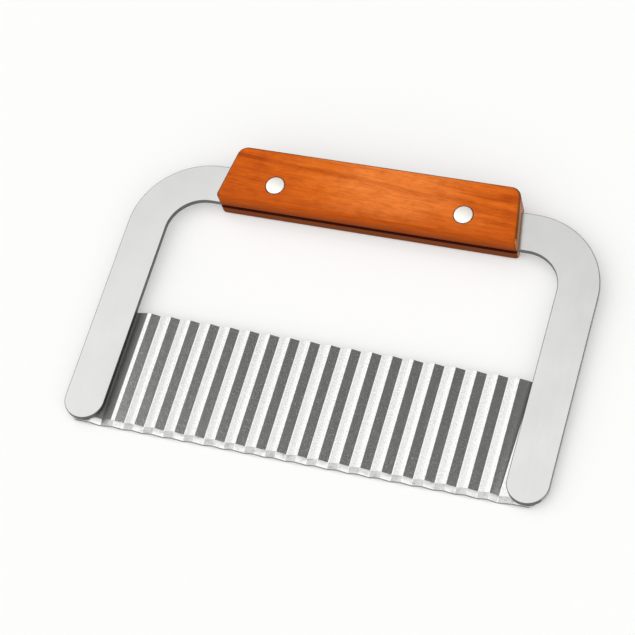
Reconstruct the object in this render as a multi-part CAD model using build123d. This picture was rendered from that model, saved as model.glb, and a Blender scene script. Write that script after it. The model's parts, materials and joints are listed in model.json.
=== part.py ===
from build123d import *
from math import asin, atan2, cos, degrees, hypot, radians, sin
import os

# A hand-held crinkle cutter for potatoes. A U-shaped sheet of steel carries a corrugated
# blade, spot-welded behind its legs, and a wooden handle, riveted over its bar.
#
# Each piece is drawn upright first: X along the blade, Y from the leg tips (0) up to the
# handle, Z forwards with 0 on the frame's front face. lay_down() then turns the cutter
# onto its back on a table, where it rests on its rivets and on the blade's cutting edge.
# All sizes are in millimetres, and angles in degrees.

# Frame: one stamped sheet, two legs and a bar
FRAME_WIDTH = 180.0
FRAME_HEIGHT = 110.4
FRAME_THICKNESS = 2.0
LEG_WIDTH = 15.1
BAR_WIDTH = 15.3
FRAME_OUTER_RADIUS = 29.0
FRAME_INNER_RADIUS = 13.7
FRAME_EDGE_BREAK = 0.25      # chamfer that tumbling leaves on every edge of the sheet

# Blade: a thin sheet pressed into lopsided waves, between two flat tabs. The crests are
# level with the tabs, so the waves lie behind the frame.
BLADE_THICKNESS = 0.6
BLADE_HEIGHT = 46.5
BLADE_REACH = 0.3            # how far the cutting edge stands out below the leg tips
TAB_EDGE_MARGIN = 3.5        # from a tab's end to the outer edge of its leg
TAB_CORNER_RADIUS = 3.0
WAVE_PITCH = 7.75
WAVE_DEPTH = 1.1
WAVE_FALL = 3.75             # width of a wave's short steep side
CREST_RADIUS = 0.25          # on the hollow side of the sheet, behind the crest
VALLEY_RADIUS = 0.6          # on the hollow side of the sheet, in front
SHOULDER_WIDTH = 1.5         # a wave's long side flattens over this width, below its crest
SHOULDER_RISE = 0.2          # and climbs only this much there
SHOULDER_RADIUS = 6.0
END_VALLEY_DEPTH = 1.5       # of the two outermost valleys, at the legs' inner edges
LAST_FALL_DROP = 0.4         # halfway from the last crest to the end valley
LAST_FALL_RADIUS = 10.0      # of the bend there, past which the sheet drops more steeply
TAB_FOLD_WIDTH = 3.8         # from an end valley up to its tab
TAB_FOLD_RADIUS = 0.6        # on the hollow side of the sheet, behind the fold
GRIND_WIDTH = 2.6            # the ground bevel along the cutting edge
EDGE_THICKNESS = 0.1         # what the grinding leaves of the sheet at the edge

# Spot welds, pressed into the back of each tab
WELD_DIAMETER = 3.2
WELD_DEPTH = 0.12
WELD_SPACING = 14.0
WELDS_PER_TAB = 3

# Handle: a block of wood with a kerf from below that takes the bar
HANDLE_LENGTH = 115.4        # along its underside
HANDLE_TOP_LENGTH = 108.4    # along its top, before its corners are rounded
HANDLE_THICKNESS = 13.0
HANDLE_FRONT_DEPTH = 6.4     # how far the wood stands out in front of the frame
HANDLE_BELOW_BAR = 0.8       # how far the wood hangs below the bar's lower edge
HANDLE_ABOVE_BAR = 6.7       # solid wood over the bar's upper edge
HANDLE_TOP_RADIUS = 4.0
HANDLE_BOTTOM_RADIUS = 1.6
HANDLE_EDGE_ROUND = 1.3
KERF_SIDE_GAP = 0.12         # on each face of the sheet
KERF_END_GAP = 0.3           # over the bar's upper edge

# Rivets: two-part compression rivets, a sleeve from the front and a pin from the back
RIVET_SPACING = 72.3
RIVET_ABOVE_BAR_EDGE = 7.2   # from the bar's lower edge to the rivets' axes
RIVET_HEAD_DIAMETER = 7.0
RIVET_RIM_HEIGHT = 0.75      # the head's thickness at its rim
RIVET_DOME_HEIGHT = 0.35     # and how far its middle stands over the rim
RIVET_RIM_CHAMFER = 0.2
SLEEVE_DIAMETER = 4.2
SLEEVE_BORE = 2.6
SLEEVE_BORE_END = 0.6        # from the seat of the head to the bore's blind end
SLEEVE_END_GAP = 1.2         # from the sleeve's end to the seat of the pin's head
PIN_END_GAP = 1.0            # from the pin's end to the bore's blind end
PIN_END_CHAMFER = 0.3
RIVET_SEAT_DEPTH = 0.6       # depth of the counterbore that a head sits in
RIVET_SEAT_GAP = 0.15        # round a head, in its counterbore
RIVET_HOLE_GAP = 0.1         # round a sleeve, in the wood and the steel
RIVET_FIT_GAP = 0.01         # round a pin, in its sleeve

# Places that follow from the sizes above
OPENING_WIDTH = FRAME_WIDTH - 2 * LEG_WIDTH
LEG_CENTRE_X = (FRAME_WIDTH - LEG_WIDTH) / 2
BAR_BOTTOM_Y = FRAME_HEIGHT - BAR_WIDTH
FRAME_MIDDLE_Z = -FRAME_THICKNESS / 2
BLADE_BACK_Z = -FRAME_THICKNESS - BLADE_THICKNESS
BLADE_BOTTOM_Y = -BLADE_REACH
TAB_END_X = FRAME_WIDTH / 2 - TAB_EDGE_MARGIN
END_VALLEY_X = OPENING_WIDTH / 2
TAB_FOLD_X = END_VALLEY_X + TAB_FOLD_WIDTH
WAVE_RISE = WAVE_PITCH - WAVE_FALL
HANDLE_BOTTOM_Y = BAR_BOTTOM_Y - HANDLE_BELOW_BAR
HANDLE_TOP_Y = FRAME_HEIGHT + HANDLE_ABOVE_BAR
HANDLE_FRONT_Z = HANDLE_FRONT_DEPTH
HANDLE_BACK_Z = HANDLE_FRONT_DEPTH - HANDLE_THICKNESS
RIVET_Y = BAR_BOTTOM_Y + RIVET_ABOVE_BAR_EDGE
RIVET_HOLE_RADIUS = SLEEVE_DIAMETER / 2 + RIVET_HOLE_GAP
FRONT_SEAT_Z = HANDLE_FRONT_Z - RIVET_SEAT_DEPTH
BACK_SEAT_Z = HANDLE_BACK_Z + RIVET_SEAT_DEPTH
RIVET_GRIP = FRONT_SEAT_Z - BACK_SEAT_Z
RIVET_HEAD_RADIUS = RIVET_HEAD_DIAMETER / 2
RIVET_DOME_RADIUS = (RIVET_HEAD_RADIUS ** 2 + RIVET_DOME_HEIGHT ** 2) / (2 * RIVET_DOME_HEIGHT)


def rivet_places():
    """The axes of the two rivets, left and right."""
    return [(-RIVET_SPACING / 2, RIVET_Y), (RIVET_SPACING / 2, RIVET_Y)]


def rivet_holes(radius, low_z, high_z):
    """Cutters on both rivet axes, between two heights."""
    discs = Sketch() + [Pos(x, y) * Circle(radius) for x, y in rivet_places()]
    return extrude(Pos(0, 0, low_z) * discs, amount=high_z - low_z)


# ---- Frame ----

def frame_outline():
    """The upside-down U of the frame, with its legs ending in half circles."""
    tip_radius = LEG_WIDTH / 2
    outer = Pos(0, (FRAME_HEIGHT + tip_radius) / 2) * Rectangle(FRAME_WIDTH, FRAME_HEIGHT - tip_radius)
    outer = fillet(outer.vertices().group_by(Axis.Y)[-1], FRAME_OUTER_RADIUS)
    opening = Pos(0, BAR_BOTTOM_Y / 2) * Rectangle(OPENING_WIDTH, BAR_BOTTOM_Y)
    opening = fillet(opening.vertices().group_by(Axis.Y)[-1], FRAME_INNER_RADIUS)
    tips = [Pos(side * LEG_CENTRE_X, tip_radius) * Circle(tip_radius) for side in (-1, 1)]
    return outer - opening + tips


def make_frame():
    """The stamped sheet, its edges broken, with a hole for each rivet."""
    sheet = extrude(frame_outline(), amount=-FRAME_THICKNESS)
    sheet = chamfer(sheet.edges().group_by(Axis.Z)[-1], FRAME_EDGE_BREAK)
    sheet = chamfer(sheet.edges().group_by(Axis.Z)[0], FRAME_EDGE_BREAK)
    return sheet - rivet_holes(RIVET_HOLE_RADIUS, -FRAME_THICKNESS, 0)


# ---- Blade ----

def wave_count():
    """How many whole waves, from valley to valley, fit between the legs."""
    return int(OPENING_WIDTH / WAVE_PITCH)


def back_corners():
    """The sheet's back as corners (x, z) with a bend radius each, from tab to tab.

    A wave climbs its long side to a shoulder, flattens there to its crest, and drops down
    its short side. On the back a crest's bend is the hollow one, so it is the tighter one.
    """
    waves = wave_count()
    valley_bend = VALLEY_RADIUS + BLADE_THICKNESS
    first_crest = WAVE_RISE - waves / 2 * WAVE_PITCH
    corners = [(-TAB_END_X, 0, 0), (-TAB_FOLD_X, 0, TAB_FOLD_RADIUS)]
    corners.append((-END_VALLEY_X, -END_VALLEY_DEPTH, valley_bend))
    for wave in range(waves):
        crest = first_crest + wave * WAVE_PITCH
        corners.append((crest - SHOULDER_WIDTH, -SHOULDER_RISE, SHOULDER_RADIUS))
        corners.append((crest, 0, CREST_RADIUS))
        corners.append((crest + WAVE_FALL, -WAVE_DEPTH, valley_bend))
    corners[-1] = ((crest + END_VALLEY_X) / 2, -LAST_FALL_DROP, LAST_FALL_RADIUS)
    corners.append((END_VALLEY_X, -END_VALLEY_DEPTH, valley_bend))
    corners.append((TAB_FOLD_X, 0, TAB_FOLD_RADIUS))
    corners.append((TAB_END_X, 0, 0))
    return corners


def heading(start, end):
    """The direction from one corner to the next, in radians."""
    return atan2(end[1] - start[1], end[0] - start[0])


def sheet_line(corners, distance):
    """The bent line that lies a given distance in front of the sheet's back."""
    points = [(corners[0][0], corners[0][1] + distance)]
    radii = []
    for before, corner, after in zip(corners, corners[1:], corners[2:]):
        turn_in = heading(before, corner)
        turn_out = heading(corner, after)
        half_turn = (turn_out - turn_in) / 2
        outward = (turn_in + turn_out) / 2 + radians(90)
        step = distance / cos(half_turn)
        points.append((corner[0] + step * cos(outward), corner[1] + step * sin(outward)))
        bulges_forward = turn_out < turn_in
        radii.append(corner[2] + distance if bulges_forward else corner[2] - distance)
    points.append((corners[-1][0], corners[-1][1] + distance))
    return FilletPolyline(*points, radius=radii)


def blade_section(thickness):
    """The sheet's cross-section in the XZ plane, its back kept and its front cut down."""
    corners = back_corners()
    back = sheet_line(corners, 0)
    front = sheet_line(corners, thickness)
    ends = [Line(back @ 0, front @ 0), Line(back @ 1, front @ 1)]
    section = make_face(Curve() + [back, front] + ends)
    return Plane.XZ * Pos(0, BLADE_BACK_Z) * section


def make_blade():
    """The corrugated sheet, ground on its front to an edge that follows the waves."""
    grind_top_y = BLADE_BOTTOM_Y + GRIND_WIDTH
    full_section = Pos(0, grind_top_y, 0) * blade_section(BLADE_THICKNESS)
    edge_section = Pos(0, BLADE_BOTTOM_Y, 0) * blade_section(EDGE_THICKNESS)
    sheet = extrude(full_section, amount=BLADE_HEIGHT - GRIND_WIDTH, dir=(0, 1, 0))
    sheet += loft([edge_section, full_section], ruled=True)
    return (sheet & tab_outline()) - weld_dimples()


def tab_outline():
    """A slab of the blade's outline, which rounds the corners of its tabs."""
    outline = RectangleRounded(2 * TAB_END_X, BLADE_HEIGHT, TAB_CORNER_RADIUS)
    middle_y = BLADE_BOTTOM_Y + BLADE_HEIGHT / 2
    outline = Pos(0, middle_y, BLADE_BACK_Z - 2 * END_VALLEY_DEPTH) * outline
    return extrude(outline, amount=2 * (END_VALLEY_DEPTH + BLADE_THICKNESS))


def weld_dimples():
    """Shallow round dents from the welding tip, in a row up the back of each tab."""
    tab_middle_x = (TAB_FOLD_X + TAB_END_X) / 2
    middle_y = BLADE_BOTTOM_Y + BLADE_HEIGHT / 2
    first_y = middle_y - (WELDS_PER_TAB - 1) / 2 * WELD_SPACING
    dents = []
    for side in (-1, 1):
        for weld in range(WELDS_PER_TAB):
            place = Pos(side * tab_middle_x, first_y + weld * WELD_SPACING, BLADE_BACK_Z)
            dents.append(place * extrude(Circle(WELD_DIAMETER / 2), amount=WELD_DEPTH))
    return dents


# ---- Handle ----

def make_handle():
    """The wooden block: its ends lean inwards, its kerf takes the bar, its rivets sink in."""
    half_length = HANDLE_LENGTH / 2
    half_top = HANDLE_TOP_LENGTH / 2
    side = make_face(Polyline(
        (-half_length, HANDLE_BOTTOM_Y), (half_length, HANDLE_BOTTOM_Y),
        (half_top, HANDLE_TOP_Y), (-half_top, HANDLE_TOP_Y), close=True))
    side = fillet(side.vertices().group_by(Axis.Y)[-1], HANDLE_TOP_RADIUS)
    side = fillet(side.vertices().group_by(Axis.Y)[0], HANDLE_BOTTOM_RADIUS)
    block = extrude(Pos(0, 0, HANDLE_BACK_Z) * side, amount=HANDLE_THICKNESS)
    block = fillet(block.edges().group_by(Axis.Z)[-1], HANDLE_EDGE_ROUND)
    block = fillet(block.edges().group_by(Axis.Z)[0], HANDLE_EDGE_ROUND)
    seat_radius = RIVET_HEAD_RADIUS + RIVET_SEAT_GAP
    block -= bar_kerf()
    block -= rivet_holes(RIVET_HOLE_RADIUS, HANDLE_BACK_Z, HANDLE_FRONT_Z)
    block -= rivet_holes(seat_radius, FRONT_SEAT_Z, HANDLE_FRONT_Z)
    block -= rivet_holes(seat_radius, HANDLE_BACK_Z, BACK_SEAT_Z)
    return block


def bar_kerf():
    """The saw cut up from the underside, a little wider and deeper than the bar."""
    kerf_top_y = FRAME_HEIGHT + KERF_END_GAP
    kerf_height = kerf_top_y - HANDLE_BOTTOM_Y
    width = FRAME_THICKNESS + 2 * KERF_SIDE_GAP
    middle = Pos(0, HANDLE_BOTTOM_Y + kerf_height / 2, FRAME_MIDDLE_Z)
    return middle * Box(HANDLE_LENGTH, kerf_height, width)


# ---- Rivets ----

def rivet_head():
    """Half the outline of a domed head, on its axis, with its seat at height 0."""
    top = RIVET_RIM_HEIGHT + RIVET_DOME_HEIGHT
    rim = (RIVET_HEAD_RADIUS, RIVET_RIM_HEIGHT)
    outline = make_face([
        Line((0, 0), (RIVET_HEAD_RADIUS, 0)),
        Line((RIVET_HEAD_RADIUS, 0), rim),
        RadiusArc(rim, (0, top), -RIVET_DOME_RADIUS),
        Line((0, top), (0, 0))])
    rim_corner = outline.vertices().sort_by_distance(rim)[0]
    return chamfer(rim_corner, RIVET_RIM_CHAMFER)


def make_sleeve():
    """The front half of a rivet: a domed head with a tube under it."""
    wall = (SLEEVE_DIAMETER - SLEEVE_BORE) / 2
    length = RIVET_GRIP - SLEEVE_END_GAP
    root = Pos(SLEEVE_DIAMETER / 4, -SLEEVE_BORE_END / 2) * Rectangle(SLEEVE_DIAMETER / 2, SLEEVE_BORE_END)
    tube = Pos((SLEEVE_BORE + wall) / 2, -length / 2) * Rectangle(wall, length)
    return revolve(Plane.XZ * (rivet_head() + root + tube), Axis.Z)


def make_pin():
    """The back half of a rivet: a domed head with a pin, pressed into the sleeve."""
    radius = SLEEVE_BORE / 2 - RIVET_FIT_GAP
    length = RIVET_GRIP - SLEEVE_BORE_END - PIN_END_GAP
    shank = Pos(radius / 2, -length / 2) * Rectangle(radius, length)
    end_corner = shank.vertices().sort_by_distance((radius, -length))[0]
    shank = chamfer(end_corner, PIN_END_CHAMFER)
    return revolve(Plane.XZ * (rivet_head() + shank), Axis.Z)


def place_rivets():
    """Both halves of both rivets: sleeves seated in front, pins turned round behind."""
    pieces = {}
    for side, (x, y) in zip(("left", "right"), rivet_places()):
        pieces[f"rivet_{side}_sleeve"] = Pos(x, y, FRONT_SEAT_Z) * make_sleeve()
        pieces[f"rivet_{side}_pin"] = Pos(x, y, BACK_SEAT_Z) * Rot(180, 0, 0) * make_pin()
    return pieces


# ---- Lying on a table ----

def tilt_onto(round_y, round_z, radius, blade_low_z):
    """The tilt that sets the back of the cutting edge level with a rounding above it.

    It is the direction of the line from the one, tangent to the circle of the other.
    """
    drop = blade_low_z - round_z
    run = round_y - BLADE_BOTTOM_Y
    return degrees(atan2(drop, run) + asin(radius / hypot(run, drop)))


def lying_tilt(blade):
    """The angle between the cutter's plane and the table it lies on.

    The table touches the cutting edge and, of the handle's lower back edge and the domes
    of the rivets behind it, whichever stands out further.
    """
    low_z = blade.bounding_box().min.Z
    edge_round = HANDLE_EDGE_ROUND
    on_edge = tilt_onto(HANDLE_BOTTOM_Y + edge_round, HANDLE_BACK_Z + edge_round, edge_round, low_z)
    dome_top_z = BACK_SEAT_Z - RIVET_RIM_HEIGHT - RIVET_DOME_HEIGHT
    on_domes = tilt_onto(RIVET_Y, dome_top_z + RIVET_DOME_RADIUS, RIVET_DOME_RADIUS, low_z)
    return max(on_edge, on_domes)


def lay_down(pieces):
    """Tilts the pieces onto the table, which is at Z = 0, with the middle at X = Y = 0."""
    tilt = lying_tilt(pieces["blade"])
    tilted = {name: Rot(tilt, 0, 0) * piece for name, piece in pieces.items()}
    box = Compound(children=[Compound(piece.solids()) for piece in tilted.values()]).bounding_box()
    middle = box.center()
    return {name: Pos(-middle.X, -middle.Y, -box.min.Z) * piece for name, piece in tilted.items()}


def main():
    pieces = {"frame": make_frame(), "blade": make_blade(), "handle": make_handle()}
    pieces.update(place_rivets())
    os.makedirs("parts", exist_ok=True)
    for name, piece in lay_down(pieces).items():
        export_step(piece, f"parts/{name}.step")


main()
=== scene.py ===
import bmesh
import bpy
import json
from bmesh.types import BMEdge, BMVert
from math import acos, asin, atan2, cos, pi, radians, tan
from mathutils import Euler, Matrix, Vector


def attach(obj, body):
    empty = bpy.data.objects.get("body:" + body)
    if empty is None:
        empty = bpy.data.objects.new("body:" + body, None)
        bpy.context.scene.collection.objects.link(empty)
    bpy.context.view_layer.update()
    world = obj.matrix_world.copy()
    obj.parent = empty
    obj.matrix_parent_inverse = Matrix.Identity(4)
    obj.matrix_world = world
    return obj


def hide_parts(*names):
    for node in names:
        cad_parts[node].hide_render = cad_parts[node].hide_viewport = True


bl_info = {
    "name": "Crinkle cutter",
    "version": (1, 0, 0),
    "blender": (4, 5, 0),
    "location": "3D View > Sidebar > Cutter",
    "description": "Builds a crinkle cutter: steel frame, corrugated blade and riveted wooden handle",
    "category": "Add Mesh",
}

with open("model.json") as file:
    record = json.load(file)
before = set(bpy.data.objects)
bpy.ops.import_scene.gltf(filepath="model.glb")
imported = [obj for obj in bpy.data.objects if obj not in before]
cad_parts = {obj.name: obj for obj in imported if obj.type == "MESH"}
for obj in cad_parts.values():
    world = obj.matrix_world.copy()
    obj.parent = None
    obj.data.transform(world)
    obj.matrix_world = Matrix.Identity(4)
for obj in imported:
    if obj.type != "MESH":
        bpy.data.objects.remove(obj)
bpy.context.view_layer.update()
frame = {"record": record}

MM = 0.001
X, Y, Z = Vector((1, 0, 0)), Vector((0, 1, 0)), Vector((0, 0, 1))
NEAR = 0.001 * MM            # places closer than this are level with each other
SAME_POINT = 0.0001 * MM
STRAIGHT = radians(0.5)      # a corner that turns less isn't one
SHARP_ANGLE = radians(50)    # an edge that turns more stays sharp
# How much of a face's normal lies along an axis.
FLAT, NEARLY_FLAT, STEEP, HALF_TURNED, BARELY, LEVEL = 0.99, 0.85, 0.75, 0.5, 0.1, 0.001
# The finishes of a piece, in the order of its list of materials.
SATIN, TORN, OUTER_EDGE_PAINTED_LIGHT = range(3)
PRESSED, CREST_PAINTED_HIGHLIGHT, GROUND_PAINTED_LIGHT, SHORN, FOLD_PAINTED_SHADE, GROUND_PAINTED_SHADE = range(6)
VARNISHED, SAWN_END, UNDERSIDE_PAINTED_SHADE, RECESS_PAINTED_SHADE, RIM_PAINTED_SHADE = range(5)
# What metals and woods start from. A metal keeps the shader's own IOR.
METAL = {"Metallic": 1.0}
WOOD = {"Metallic": 0.0, "IOR": 1.5}
WHITE = (1.0, 1.0, 1.0)
ONE_MM = (1.0, 1.0, 1.0)
COLOUR_A, COLOUR_B = 6, 7    # a mix node's colour sockets, whose names others share
MIX_COLOURS = {"data_type": "RGBA"}
SMOOTH = {"interpolation_type": "SMOOTHSTEP"}


def hex_colour(code):
    """An sRGB hex value as linear red, green and blue."""
    parts = [int(code[i:i + 2], 16) / 255 for i in (0, 2, 4)]
    return tuple(c / 12.92 if c <= 0.04045 else ((c + 0.055) / 1.055) ** 2.4 for c in parts)


def length(name, description, millimetres):
    """A length property, in metres, from its default in millimetres."""
    return bpy.props.FloatProperty(
        name=name, description=description, default=millimetres * MM,
        min=0.0, precision=5, subtype="DISTANCE", unit="LENGTH")


def angle(name, description, degrees):
    """An angle property from its default in degrees."""
    return bpy.props.FloatProperty(name=name, description=description, default=radians(degrees),
                                   subtype="ANGLE", unit="ROTATION")


def direction(name, description, default):
    """A direction property, from the cutter outwards."""
    return bpy.props.FloatVectorProperty(name=name, description=description, default=default,
                                         size=3, subtype="DIRECTION")


def level(name, description, default):
    """A brightness property, or a share of a brightness."""
    return bpy.props.FloatProperty(name=name, description=description, default=default, min=0.0)


def colour(name, description, code):
    """A colour property from its default as sRGB hex."""
    return bpy.props.FloatVectorProperty(
        name=name, description=description, default=hex_colour(code),
        min=0.0, max=1.0, size=3, subtype="COLOR")


class FrameSizes(bpy.types.PropertyGroup):
    width: length("Width", "Across both legs", 180.0)
    height: length("Height", "From the leg tips to the bar's upper edge", 110.4)
    thickness: length("Thickness", "Of the stamped sheet", 2.0)
    leg_width: length("Leg width", "Of each leg", 15.1)
    bar_width: length("Bar width", "Of the bar that carries the handle", 15.3)
    outer_radius: length("Outer radius", "Of the two outer corners", 29.0)
    inner_radius: length("Inner radius", "Of the two inner corners", 13.7)
    edge_break: length("Edge break", "Rounding that tumbling leaves on the sheet's edges", 0.25)


class BladeSizes(bpy.types.PropertyGroup):
    thickness: length("Thickness", "Of the blade's sheet", 0.6)
    height: length("Height", "From the cutting edge to the upper edge", 46.5)
    reach: length("Reach", "How far the cutting edge stands out below the leg tips", 0.3)
    tab_edge_margin: length("Tab margin", "From a tab's end to its leg's outer edge", 3.5)
    tab_corner_radius: length("Tab corner radius", "Of the blade's four corners", 3.0)
    wave_pitch: length("Wave pitch", "From crest to crest", 7.75)
    wave_depth: length("Wave depth", "From valley to crest", 1.1)
    wave_fall: length("Wave fall", "Width of a wave's short steep side", 3.75)
    crest_radius: length("Crest radius", "Of the hollow behind a crest", 0.25)
    valley_radius: length("Valley radius", "Of the hollow in front of a valley", 0.6)
    shoulder_width: length("Shoulder width", "Where a wave's long side flattens", 1.5)
    shoulder_rise: length("Shoulder rise", "From the shoulder to the crest", 0.2)
    shoulder_radius: length("Shoulder radius", "Of the bend at the shoulder", 6.0)
    tab_fold: length("Tab fold", "Width of the fold down from a tab to its end valley", 3.8)
    tab_fold_radius: length("Tab fold radius", "Of the hollow behind a tab's fold", 0.6)
    end_valley_depth: length("End valley depth", "Of the outermost valleys, at the legs", 1.5)
    last_fall_drop: length("Last fall drop", "Halfway from the last crest to the end valley", 0.4)
    last_fall_radius: length("Last fall radius", "Of the bend halfway down the last fall", 10.0)
    end_valley_lean: length("End valley lean", "Of the right end valley's foot, inwards", 1.9)
    grind_width: length("Grind width", "Of the bevel along the cutting edge", 2.6)
    honed_width: length("Honed width", "Of the fine last bevel at the cutting edge", 0.35)
    edge_thickness: length("Edge thickness", "What the grinding leaves of the sheet", 0.1)
    weld_diameter: length("Weld diameter", "Of a spot weld's dent", 3.2)
    weld_depth: length("Weld depth", "Of a spot weld's dent", 0.12)
    weld_spacing: length("Weld spacing", "From weld to weld up a tab", 14.0)
    welds_per_tab: bpy.props.IntProperty(
        name="Welds per tab", description="Spot welds in each tab", default=3, min=1)


class HandleSizes(bpy.types.PropertyGroup):
    length: length("Length", "Along the underside", 115.4)
    top_length: length("Top length", "Along the top, before its corners are rounded", 108.4)
    thickness: length("Thickness", "From front to back", 13.0)
    front_depth: length("Front depth", "Wood in front of the frame", 6.4)
    below_bar: length("Below the bar", "Wood that hangs below the bar's lower edge", 0.8)
    above_bar: length("Above the bar", "Solid wood over the bar's upper edge", 6.7)
    top_radius: length("Top radius", "Of the two upper corners", 4.0)
    bottom_radius: length("Bottom radius", "Of the two lower corners", 1.6)
    edge_round: length("Edge round", "Of the long edges, front and back", 1.3)
    kerf_side_gap: length("Kerf side gap", "Air on each side of the bar in its kerf", 0.12)
    kerf_end_gap: length("Kerf end gap", "Air over the bar in its kerf", 0.3)


class RivetSizes(bpy.types.PropertyGroup):
    spacing: length("Spacing", "Between the two rivets", 72.3)
    above_bar_edge: length("Height on the bar", "From the bar's lower edge to the rivets", 7.2)
    head_diameter: length("Head diameter", "Of each domed head", 7.0)
    rim_height: length("Rim height", "Of a head at its rim", 0.75)
    dome_height: length("Dome height", "Of a head's middle over its rim", 0.35)
    rim_round: length("Rim round", "Of a head's edge", 0.2)
    sleeve_diameter: length("Sleeve diameter", "Of the front half's tube", 4.2)
    sleeve_bore: length("Sleeve bore", "Inside the front half's tube", 2.6)
    sleeve_end_gap: length("Sleeve end gap", "From the tube's end to the other head", 1.2)
    bore_end: length("Bore end", "From the head's seat to the blind end of the bore", 0.6)
    pin_side_gap: length("Pin side gap", "Between the pin and the bore", 0.01)
    pin_end_gap: length("Pin end gap", "From the pin's end to the bore's blind end", 1.0)
    pin_chamfer: length("Pin chamfer", "Of the pin's end", 0.3)
    bar_hole_gap: length("Bar hole gap", "Round a rivet's tube in the bar", 0.1)
    seat_depth: length("Seat depth", "Of the counterbore a head sits in", 0.6)
    seat_gap: length("Seat gap", "Round a head in its counterbore", 0.15)
    seat_chamfer: length("Seat chamfer", "Frayed mouth of a counterbore", 0.15)


class CutterColours(bpy.types.PropertyGroup):
    sheet_steel: colour("Sheet steel", "Satin face of the frame", "BCBCBB")
    blade_steel: colour("Blade steel", "Pressed face of the blade", "CECECD")
    # Crest steel is a painted highlight: a lighter strip beside each crest and at the right end,
    # where the softbox's reflection lies.
    crest_highlight_steel: colour("Crest steel", "Strip that the press burnishes beside each crest", "D2D2D1")
    # Fold steel is painted shade: the dark strips beside the legs, where the legs shade the sheet and
    # the sheet mirrors their dark edges.
    fold_shade_steel: colour("Fold steel", "Deep folds at the blade's ends", "8E8E8D")
    # Ground steel and coarse steel are lit and shaded copies of the bevel: painted light under each
    # wave's steep side, painted shade under its long side.
    ground_light_steel: colour("Ground steel", "The bevel along the cutting edge", "E2E2E1")
    ground_shade_steel: colour("Coarse steel", "Where the wheel bites the bevel deeper", "BEBEBD")
    shorn_steel: colour("Shorn steel", "Torn edge of the stamped sheet", "6A6A69")
    # Rubbed steel is painted light: a lighter copy of the torn edge on the frame's outer edges.
    outer_edge_light_steel: colour("Rubbed steel", "Outer edges, rubbed bright by tumbling", "B4B4B3")
    wood_light: colour("Light wood", "Where the palm wears the stain thin", "DD752F")
    wood_mid: colour("Middle wood", "Most of the wood", "D06418")
    wood_dark: colour("Dark wood", "Towards both ends, where the stain is full", "C2560E")
    # Edge wood is painted shade: the underside, and the lower edge of the front face.
    wood_shade: colour("Edge wood", "Where the stain pools along the edges and underneath", "B54F0D")
    # Rim wood is painted shade: the top and left rims of the front face.
    wood_rim_shade: colour("Rim wood", "The corner round the front, grey-brown from handling", "6E4426")
    end_grain: colour("End grain", "The sawn ends", "B98A68")
    # Kerf wood is painted shade: nearly black in the kerf and the rivet seats.
    kerf: colour("Kerf wood", "Scorched by the saw in the kerf and round the rivets", "501006")
    rivet_metal: colour("Rivet metal", "Bright aluminium heads", "F6F3EE")
    floor_sheet: colour("Floor sheet", "The pale sheet under the cutter", "D0D0CF")


class StageSettings(bpy.types.PropertyGroup):
    focal_length: bpy.props.FloatProperty(
        name="Focal length", description="Of the camera, on a 36 mm sensor", default=122.67,
        min=1.0, subtype="DISTANCE_CAMERA", unit="CAMERA")
    camera_place: bpy.props.FloatVectorProperty(
        name="Camera place", description="Where the camera stands, before the cutter is laid down",
        default=(0.21698, -0.25844, 0.67706), size=3, subtype="TRANSLATION", unit="LENGTH")
    camera_turn: bpy.props.FloatVectorProperty(
        name="Camera turn", description="How the camera is turned",
        default=(radians(27.8202), radians(10.6929), radians(16.1762)), size=3, subtype="EULER",
        unit="ROTATION")
    left_direction: direction("Left softbox", "To the main softbox's middle", (-0.6, -0.3, 0.74))
    left_reach: angle("Left reach", "From the main softbox's middle to its edge", 56.5)
    left_level: level("Left level", "Brightness of the main softbox", 1.66)
    left_foot: level("Left foot", "Brightness of the main softbox low down, as a share", 0.7)
    left_back: level("Left back", "Brightness of the main softbox's far side, as a share", 0.82)
    right_direction: direction("Right softbox", "To the fill softbox's middle", (0.45, -0.5, 0.74))
    right_reach: angle("Right reach", "From the fill softbox's middle to its edge", 44)
    right_level: level("Right level", "Brightness of the fill softbox", 1.45)
    softbox_fade: angle("Softbox fade", "Width of the softboxes' soft edges", 5)
    room_level: level("Room level", "Brightness of the room behind the cutter", 0.2)
    horizon_level: level("Horizon level", "Brightness of the backdrop low down", 0.95)
    floor_glow: level("Floor glow", "Light that comes up through the translucent floor", 0.28)


# ---- Places, worked out from the sizes ----

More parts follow.
